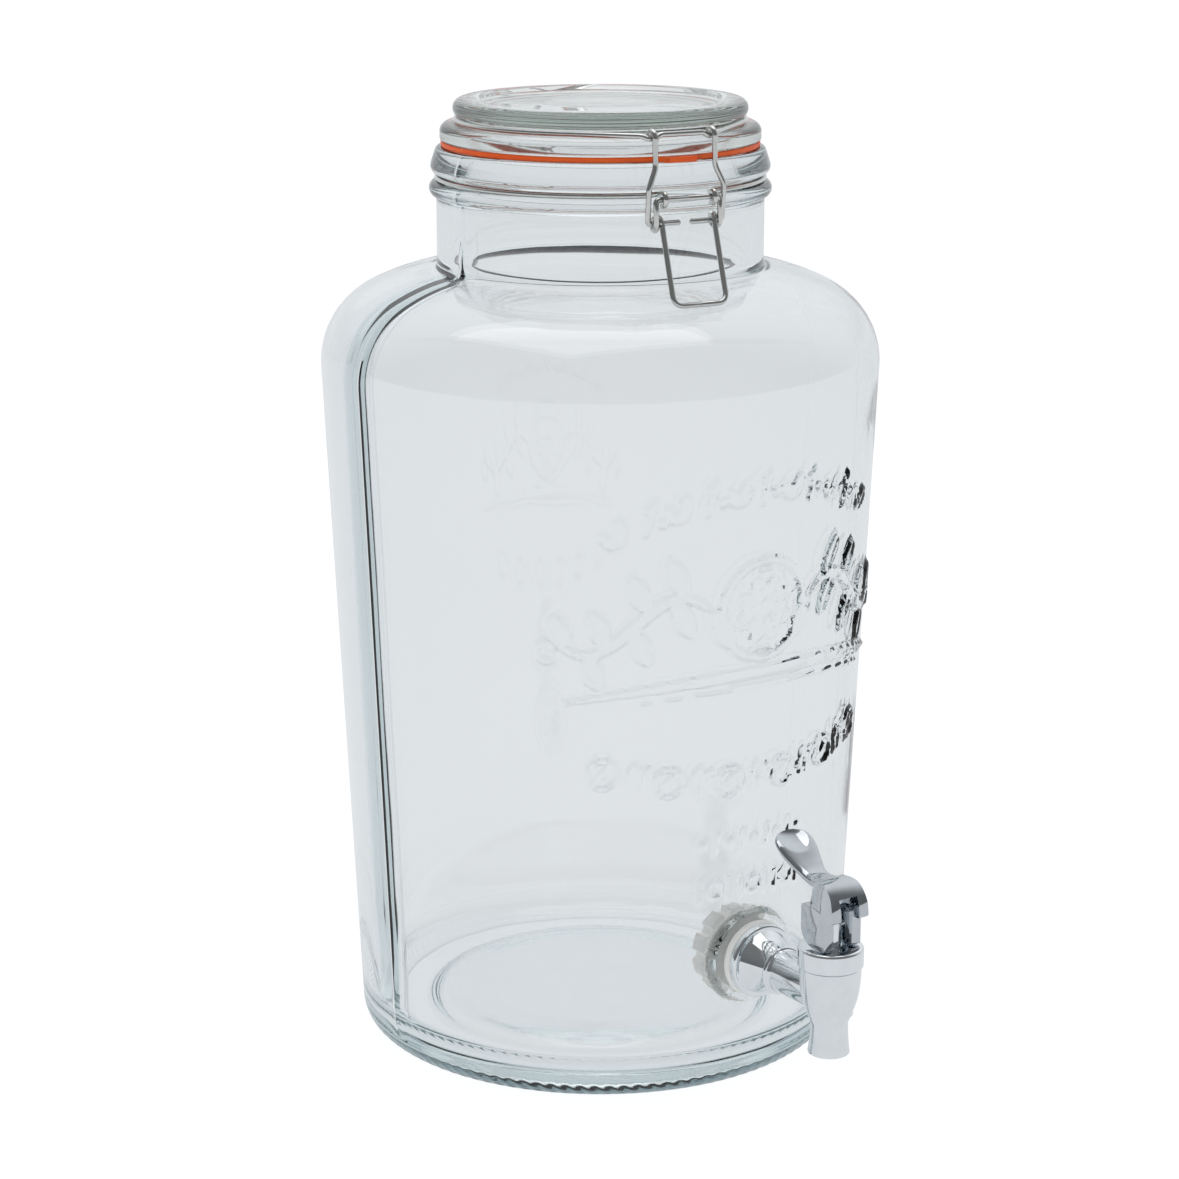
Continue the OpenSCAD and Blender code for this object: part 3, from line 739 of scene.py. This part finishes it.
def lid_profile():
    top, under, plug_z, plug_r, flange_z, flange_r = 347.0, 339.5, 327.2, 50.3, 332.3, 57.5
    dish_z = top - 1.4
    return (at((0, under), (20, under)) + curve((43, under), (46, under), (46.3, under - 3), 8)
            + arc((47.8, plug_z + 1), 1, 180, 270, 5) + arc((plug_r - 1, plug_z + 1), 1, -90, 0, 5)
            + at((plug_r, flange_z))
            + arc((flange_r - 1, flange_z + 1), 1, -90, 0, 6) + arc((flange_r - 3, 335.5), 3, 0, 90, 12)
            + at((50.9, 338.5), (50.2, 338.9))
            + arc((49.4, top - 3.4), 3.4, -72, 90, 20)
            + curve((47, top), (44.5, top), (42.5, top - 1.5), 8)
            + at((20, dish_z), (0, dish_z)))


def add_lid(glass, orange):
    shape = lathe(lid_profile(), along_z, 240)
    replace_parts(make("lid_glass_top", *shape, glass, "lid_glass", "lid", 40), "lid")
    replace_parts(make("sealing_ring", *gasket(), orange, "gasket_rubber", "lid"), "lid_gasket")


def gasket():
    """A flat ring with rounded edges and a pull tab that widens out of it under the clasp."""
    inner, outer, low, high, edge = 50.6, 57.1, 330.30, 332.24, 0.45
    tab_reach, tab_half, tab_side = 3.5, 7.6, 2.6
    verts, faces, n = [], [], 360
    for k in range(n):
        a = 2 * math.pi * k / n
        off = abs(math.atan2(math.sin(a + math.pi / 2), math.cos(a + math.pi / 2))) * outer
        far = outer + tab_reach * float(smoothstep((tab_half - off) / tab_side))
        left, right, bottom, top = inner + edge, far - edge, low + edge, high - edge
        section = (arc((left, bottom), edge, 180, 270, 4) + arc((right, bottom), edge, -90, 0, 4)
                   + arc((right, top), edge, 0, 90, 4) + arc((left, top), edge, 90, 180, 4))
        verts += [(r * math.cos(a), r * math.sin(a), h) for r, h in section]
    m = len(section)
    for k in range(n):
        faces += ring_faces(k * m, (k + 1) % n * m, m)
    return spun((verts, faces), CLASP_TURN)


# ---- The wires ----

# As (away from the jar's axis, up): the crossbar, the coils, the bar that the hooks hold, the rear hinge
AXIS_A, AXIS_B, AXIS_C, HINGE = (63.5, 318.5), (61.7, 310.1), (59.0, 338.7), (65.5, 327.0)
# Half-widths across the clasp's plane, except the radii of the eyes and coils
EYE_R, COIL_R, CRANK_X, EYE_X, ARM_X, HOOK_X = 2.2, 2.25, 12.45, 9.6, 14.6, 11.6
# The handle's end is pushed a little to one side by SKEW
HANDLE_HALF, HANDLE_R, HANDLE_Z, SKEW = 10.3, 78.0, 284.2, -2.8
LID_WIRE_R, LID_WIRE_Z, NECK_WIRE_R, NECK_WIRE_Z = 51.65, 339.6, 58.55, 319.33


def ring_path(radius, z, front, rear, n=48):
    """Half of a ring, which leaves a gap of 2 * front degrees at the clasp and 2 * rear at the hinge."""
    turns = np.radians(np.linspace(front, 180 - rear, n + 1))
    return [np.array((radius * math.sin(a), -radius * math.cos(a), z)) for a in turns]


def lid_wire():
    """A bar with a raised middle at the front, the ring in the lid's groove, and two curls at the hinge."""
    (r, z), curl_x = AXIS_C, 6.4
    groove = ring_path(LID_WIRE_R, LID_WIRE_Z, 41, 32)
    front = rounded([out(0, r, z + 1.3), out(HOOK_X - 3.4, r, z + 1.3), out(HOOK_X - 1.3, r, z),
                     out(HOOK_X + 1.3, r, z), out(HOOK_X + 3.2, r - 1.4, LID_WIRE_Z), groove[0]], 0.8)
    leg = rounded([groove[-1], out(8, -61.5, LID_WIRE_Z),
                   out(curl_x, -HINGE[0] - EYE_R, HINGE[1] + 5)], 1.8)
    curl = [out(curl_x, EYE_R * math.cos(t) - HINGE[0], HINGE[1] + EYE_R * math.sin(t))
            for t in np.radians(np.linspace(180, 460, 36))]
    half = tube(front + groove[1:-1] + leg + curl, WIRE_R)
    return spun(merge([half, mirrored(half)]), CLASP_TURN)


def neck_wire():
    """The ring in the neck's groove, with two eyes for the crossbar and the hinge bar behind it."""
    groove = ring_path(NECK_WIRE_R, NECK_WIRE_Z, 13, 24, 60)
    eye = [out(EYE_X, AXIS_A[0] + EYE_R * math.cos(t), AXIS_A[1] + EYE_R * math.sin(t))
           for t in np.radians(np.linspace(110, -105, 30))]
    lead = curve(eye[0], out(EYE_X + 0.6, 59.4, NECK_WIRE_Z + 0.6), groove[0], 10)
    rear = rounded([groove[-1], out(12, -64, NECK_WIRE_Z + 0.5), out(10.5, -HINGE[0], HINGE[1]),
                    out(0, -HINGE[0], HINGE[1])], 1.8)
    half = tube(list(reversed(eye)) + lead[1:-1] + groove + rear[1:], WIRE_R)
    return spun(merge([half, mirrored(half)]), CLASP_TURN)


def lever_wire(side):
    """One half of the clasp lever, from the middle of its crossbar to the middle of its handle."""
    skew, (r, z) = side * SKEW, AXIS_B
    crank = rounded([out(0.1, *AXIS_A), out(CRANK_X, *AXIS_A), out(CRANK_X, r + COIL_R, AXIS_A[1] - 4),
                     out(CRANK_X, r + COIL_R, z + 0.6)], 1.6)
    coil = [out(CRANK_X - (CRANK_X - HANDLE_HALF) * t, r + COIL_R * math.cos(2 * math.pi * t),
                z - COIL_R * math.sin(2 * math.pi * t)) for t in np.linspace(0, 1, 49)]
    handle = rounded([out(HANDLE_HALF, r + COIL_R + 0.2, z - 0.6),
                      out(HANDLE_HALF + skew, HANDLE_R, HANDLE_Z), out(skew, HANDLE_R, HANDLE_Z)], 4)
    return tube(crank + coil + handle, WIRE_R, start=(1, 0, 0.5))


def arm_wire():
    """One arm: a stub in the lever's coil, a shoulder over the rim and a hook over the lid wire."""
    (r, z), hook_r = AXIS_C, 2 * WIRE_R + 0.35
    hook = [out(HOOK_X, r + hook_r * math.cos(t), z + 0.2 + hook_r * math.sin(t))
            for t in np.radians(np.linspace(0, 165, 26))]
    path = rounded([out(2.5, *AXIS_B), out(ARM_X, *AXIS_B), out(ARM_X, 62.6, 322.5), out(HOOK_X, 61.6, 329),
                    out(HOOK_X, r + hook_r, z - 0.9)], 1.5) + hook
    return tube(path, WIRE_R, start=(0, 0.3, 1))


def add_wires(steel):
    def wire(name, part, node, body):
        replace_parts(make(name, *part, steel, "wire_steel", body, 60), node)
    wire("lid_wire_round", lid_wire(), "lid_wire", "lid")
    wire("neck_wire_round", neck_wire(), "neck_wire", "dispenser")
    lever = merge([lever_wire(1), mirrored(lever_wire(-1))])
    wire("clasp_lever_wire", spun(lever, CLASP_TURN), "clasp_lever", "clasp_lever")
    wire("clasp_arm_wire_right", spun(arm_wire(), CLASP_TURN), "clasp_arm_right", "clasp_arms")
    wire("clasp_arm_wire_left", spun(mirrored(arm_wire()), CLASP_TURN), "clasp_arm_left", "clasp_arms")


# ---- The tap ----

# The radius at which the horn ends in the barrel's wall, the washers' holes and the stem
SADDLE_R, WASHER_IN_R, STEM_R = 9.4, 8.1, 3.5
# The closing spring: its ends, its coil and wire, and how far the stem pushes it together
SPRING_LOW, SPRING_TOP, SPRING_R, SPRING_WIRE_R, SPRING_TURNS, STEM_TRAVEL = 53.4, 66.0, 5.0, 0.45, 6, 2.6


def up_to_barrel(r, a, h):
    """A place along the tap's axis that stops inside the barrel's wall, so the horn ends in a saddle."""
    across = min(abs(r * math.cos(a)), SADDLE_R)
    return along_tap(r, a, min(h, BARREL_Y - math.sqrt(SADDLE_R ** 2 - across ** 2)))


def tap_horn():
    """Flange, flared horn, ring and plain shank on the tap's axis, with the threaded shank inside."""
    back = 98.0
    thread = at(*((8.0 if k % 2 else 7.55, 74.4 + k * 0.5) for k in range(40)))
    outer = (at((5.0, 74.0), (7.4, 74.0)) + thread
             + at((8.0, back - 2), (8.0, back), (13.1, back))
             + arc((12.9, back + 0.5), 0.5, -90, 0, 4) + arc((12.4, back + 2.0), 1.0, 0, 90, 8)
             + curve((11.4, back + 3.05), (8.4, back + 7.5), (7.75, back + 12.2), 14)
             + arc((7.85, back + 13.3), 0.95, -70, 80, 10)
             + curve((7.75, back + 14.6), (7.5, back + 18), (7.5, 130), 6)
             + at((7.5, 134.0), (5.0, 134.0)))
    return lathe(outer, up_to_barrel, 128)


def tap_barrel():
    """The nozzle at the bottom, the belly above it, and the seat and chamber inside."""
    outer = (at((6.9, 29.5)) + arc((6.9, 29.9), 0.4, -90, 0, 4)
             + curve((7.3, 30.2), (6.5, 35.5), (6.6, 41), 10)
             + curve((6.6, 41), (8.4, 45.5), (9.3, 48.4), 8)
             + curve((9.3, 48.4), (10.7, 53), (10.8, 61.0), 12)
             + arc((10.5, 61.3), 0.3, 0, 90, 4)
             + at((9.6, 61.7), (9.6, 66.0), (8.2, 66.0), (8.2, 44.0), (4.9, 44.0), (4.9, 40.0),
                  (5.4, 39.6), (5.4, 30.0))
             + arc((5.9, 30.0), 0.5, 180, 270, 4))
    return lathe(outer, on_barrel, 128)


def tap_bonnet():
    outer = (at((9.65, 61.85), (11.2, 61.85)) + arc((11.2, 62.15), 0.3, -90, 0, 4)
             + arc((10.3, 67.8), 1.2, 0, 90, 10)
             + at((6.5, 69.0), (5.6, 68.75), (3.9, 68.9), (3.6, 68.6), (5.0, 68.5), (5.0, 67.0),
                  (3.6, 67.0), (3.6, 66.1), (9.65, 66.1)))
    return lathe(outer, on_barrel, 128)


def tap_stem():
    outer = (at((0.0, 47.0), (2.6, 47.0), (2.6, 52.0), (6.3, 52.0))
             + arc((6.3, 52.3), 0.3, -90, 0, 3) + arc((6.3, 53.0), 0.3, 0, 90, 3)
             + at((STEM_R, 53.3), (STEM_R, 80.2)) + arc((STEM_R - 0.6, 80.2), 0.6, 0, 90, 5)
             + at((0.0, 80.8)))
    return lathe(outer, on_barrel, 64)


def washer(inner, outer, low, high, edge=0.5, place=along_tap):
    left, right = inner + 0.2, outer - edge
    profile = (arc((left, low + 0.2), 0.2, 180, 270, 3) + arc((right, low + edge), edge, -90, 0, 6)
               + arc((right, high - edge), edge, 0, 90, 6) + arc((left, high - 0.2), 0.2, 90, 180, 3))
    return lathe(profile, place, 144)


def nut():
    """The round nut on the inside, with finger notches."""
    low, high, notches, depth = 78.2, 84.4, 10, 1.9

    def notched(r, a, h):
        dip = 0.5 + 0.5 * math.cos(notches * a)
        return r - depth * float(smoothstep((dip - 0.62) / 0.3)) if r > 12 else r

    profile = (at((8.05, low), (12.2, low)) + arc((15.3, low + 0.7), 0.7, -90, 0, 5)
               + arc((15.3, high - 0.7), 0.7, 0, 90, 5) + at((12.2, high), (8.05, high)))
    return lathe(profile, along_tap, 240, notched)


def cup():
    """The soft cup on the stem's lower end that closes the seat."""
    return lathe(at((0, 42.65), (2.6, 42.85), (4.8, 44.05), (7, 44.05), (7.4, 47.05), (7.4, 51.9),
                    (2.65, 51.9), (2.65, 46.95), (0, 46.95)), on_barrel, 64)


def spring():
    low, high = SPRING_LOW + SPRING_WIRE_R, SPRING_TOP - SPRING_WIRE_R
    path = [on_barrel(SPRING_R, 2 * math.pi * SPRING_TURNS * t, low + (high - low) * t)
            for t in np.linspace(0, 1, 217)]
    return tube(path, SPRING_WIRE_R, 12)


# The cheek's rounded corner, the height of the lever's pin, and half of the hood's and the slot's width
CAM_R, PIN_Z, LEVER_HALF, SLOT_HALF = 6.6, 76.0, 8.0, 4.0


def cheek_line():
    """Side view of a cheek with the hood and front prong above it, as (away from the jar, up)."""
    y = BARREL_Y
    back, front, low = y - CAM_R, y + 6.2, PIN_Z - CAM_R
    return (arc((back + 0.8, 83.2), 0.8, 90, 180, 4) + arc((y, PIN_Z), CAM_R, 180, 270, 18)
            + arc((front - 1, low + 1), 1, -90, 0, 6) + at((front, 80.4))
            + arc((front + 2.9, 81.6), 1.1, -110, 10, 8)
            + curve((front + 3.95, 82.2), (front + 3.2, 93.2), (y + 0.5, 93.3), 20)
            + curve((y + 0.2, 93.3), (y - 2.6, 93.3), (y - 3.6, 91.2), 8)
            + curve((y - 3.6, 90.8), (y - 2.4, 88), (y - 1.4, 84.0), 6))


def prism(outline, x0, x1):
    """A side view, as (away from the jar, up), given thickness from x0 to x1."""
    n = len(outline)
    verts = [(x, -y, z) for x in (x0, x1) for y, z in outline]
    faces = ring_faces(0, n, n) + [tuple(range(n - 1, -1, -1)), tuple(range(n, 2 * n))]
    return verts, faces


def hood_width(y, z):
    """The hood narrows towards its back upper edge, where the blade leaves it."""
    up = float(smoothstep((z - 84.5) / 8.0))
    back = float(smoothstep((BARREL_Y + 6.5 - y) / 9.0))
    return 1.0 - up * (0.10 + 0.27 * back)


def add_lever_hood(chrome):
    verts, faces = prism(cheek_line(), -LEVER_HALF, LEVER_HALF)
    verts = [(x * hood_width(-y, z), y, z) for x, y, z in verts]
    piece = make("lever_hood", verts, faces, chrome, "tap_chrome", "tap_lever")
    slot = (at((BARREL_Y + 14, 60), (BARREL_Y + 14, 88.5), (BARREL_Y, 88.5))
            + arc((BARREL_Y, PIN_Z), 8.2, 90, 270, 24))
    cut_with(piece, prism(slot, -SLOT_HALF, SLOT_HALF))
    edge = piece.modifiers.new("edge", "BEVEL")
    edge.width, edge.segments = 0.55 * MM, 3
    edge.limit_method, edge.angle_limit = "ANGLE", math.radians(40)
    apply_modifiers(piece)
    shade(piece, 32)
    return piece


def between(values, t):
    """A smooth line through values, at position t counted in steps from the first."""
    i = min(int(t), len(values) - 2)
    v = [np.array(values[max(0, min(len(values) - 1, i + k))], float) for k in (-1, 0, 1, 2)]
    u = t - i
    return 0.5 * ((2 * v[1]) + (v[2] - v[0]) * u + (2 * v[0] - 5 * v[1] + 4 * v[2] - v[3]) * u * u
                  + (3 * v[1] - v[0] - 3 * v[2] + v[3]) * u ** 3)


def blade():
    """The thumb blade: a spoon with a hollow near its tip, narrowing to a neck where it meets the hood."""
    line = [(138.0, 91.0), (134.5, 90.9), (131.0, 90.9), (127.5, 92.0), (124.0, 94.3), (120.5, 97.1),
            (117.5, 99.6), (115.0, 101.5), (113.3, 102.6), (112.4, 103.1)]
    half = [5.6, 5.2, 4.9, 5.1, 6.3, 7.5, 7.9, 7.2, 5.2, 2.4]
    thick = [4.6, 4.2, 3.6, 3.2, 3.0, 2.9, 2.8, 2.6, 2.2, 1.4]
    # the hollow: its place and length along the line in steps, its half-width and its depth
    dish_at, dish_length, dish_half, dish_depth = 6.9, 1.9, 6.2, 1.5
    steps = np.linspace(0, len(line) - 1, 64)
    verts, faces, sides = [], [], 40
    for t in steps:
        c = between(line, t)
        d = unit(between(line, min(t + 0.05, steps[-1])) - between(line, max(t - 0.05, 0)))
        up = np.array((-d[1], d[0]))
        up = up if up[1] > 0 else -up
        w, h = float(between(half, t)), float(between(thick, t))
        for k in range(sides):
            a = 2 * math.pi * k / sides
            ca, sa = math.cos(a), math.sin(a)
            x = w * math.copysign(abs(ca) ** 0.75, ca)
            v = h / 2 * math.copysign(abs(sa) ** 0.62, sa)
            if sa > 0:
                off = (x / dish_half) ** 2 + ((t - dish_at) / dish_length) ** 2
                v -= dish_depth * max(0.0, 1 - off) ** 0.9
            p = c + up * v
            verts.append((x, -p[0], p[1]))
    for i in range(len(steps) - 1):
        faces += ring_faces(i * sides, (i + 1) * sides, sides)
    last = (len(steps) - 1) * sides
    faces.append(tuple(range(sides - 1, -1, -1)))
    faces.append(tuple(last + k for k in range(sides)))
    return verts, faces


def add_tap(chrome, painted_shade_chrome, silicone, plastic, steel):
    def part(name, shape, material, slot, body, node):
        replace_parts(make(name, *shape, material, slot, body), node)

    outer_washer = washer(WASHER_IN_R, 13.8, 95.0, 98.0, 0.8)
    inner_washer = washer(WASHER_IN_R, 13.4, 84.4, 86.4)
    stem_seal = washer(3.65, 4.9, 67.15, 68.35, 0.5, on_barrel)
    part("tap_horn", tap_horn(), chrome, "tap_chrome", "dispenser", "tap_body")
    part("tap_barrel", tap_barrel(), chrome, "tap_chrome", "dispenser", "tap_body")
    part("tap_collar", tap_bonnet(), chrome, "tap_chrome", "dispenser", "tap_bonnet")
    part("outer_washer", outer_washer, silicone, "seal_silicone", "dispenser", "tap_outer_washer")
    part("inner_washer", inner_washer, silicone, "seal_silicone", "dispenser", "tap_inner_washer")
    part("shank_nut", nut(), plastic, "nut_plastic", "dispenser", "tap_nut")
    part("stem_post", tap_stem(), chrome, "tap_chrome", "tap_stem", "tap_stem")
    part("stem_seal", stem_seal, silicone, "seal_silicone", "dispenser", "tap_stem_oring")
    part("seat_rubber", cup(), silicone, "seal_silicone", "tap_stem", "tap_seat_cup")
    coil = make("return_spring", *spring(), steel, "spring_steel", "dispenser", 60)
    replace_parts(coil, "tap_spring")
    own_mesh(coil)
    # The hood and blade take the darker copy of the tap's chrome, which paints shade on the lever
    hood = add_lever_hood(painted_shade_chrome)
    spoon = make("lever_blade", *blade(), painted_shade_chrome, "tap_chrome", "tap_lever", 50)
    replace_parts(hood, "tap_lever")
    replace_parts(spoon, "tap_lever")
    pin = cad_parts["tap_lever_pin"]
    pin.data.materials.clear()
    pin.data.materials.append(chrome)


# ---- The scene ----

def main():
    scene = bpy.context.scene
    scene.view_settings.view_transform = "Standard"
    scene.view_settings.look = "None"
    scene.cycles.max_bounces = GLASS_BOUNCES
    scene.cycles.transmission_bounces = GLASS_BOUNCES
    scene.cycles.glossy_bounces = 10
    scene.cycles.transparent_max_bounces = GLASS_BOUNCES
    scene.cycles.use_denoising = True
    scene.cycles.caustics_refractive = True
    scene.cycles.caustics_reflective = True
    scene.cycles.sample_clamp_indirect = 6.0
    add_camera()
    studio_world()
    add_floor()
    for light in SOFTBOXES:
        softbox(*light)
    clear, lid_glass = (glass_material(*row) for row in GLASSES)
    steel, chrome, painted_shade_chrome, spring_steel = (metal_material(*row) for row in METALS)
    silicone, plastic, orange = (soft_material(*row) for row in SOFTS)
    add_jar(clear)
    add_lid(lid_glass, orange)
    add_wires(steel)
    add_tap(chrome, painted_shade_chrome, silicone, plastic, spring_steel)


main()
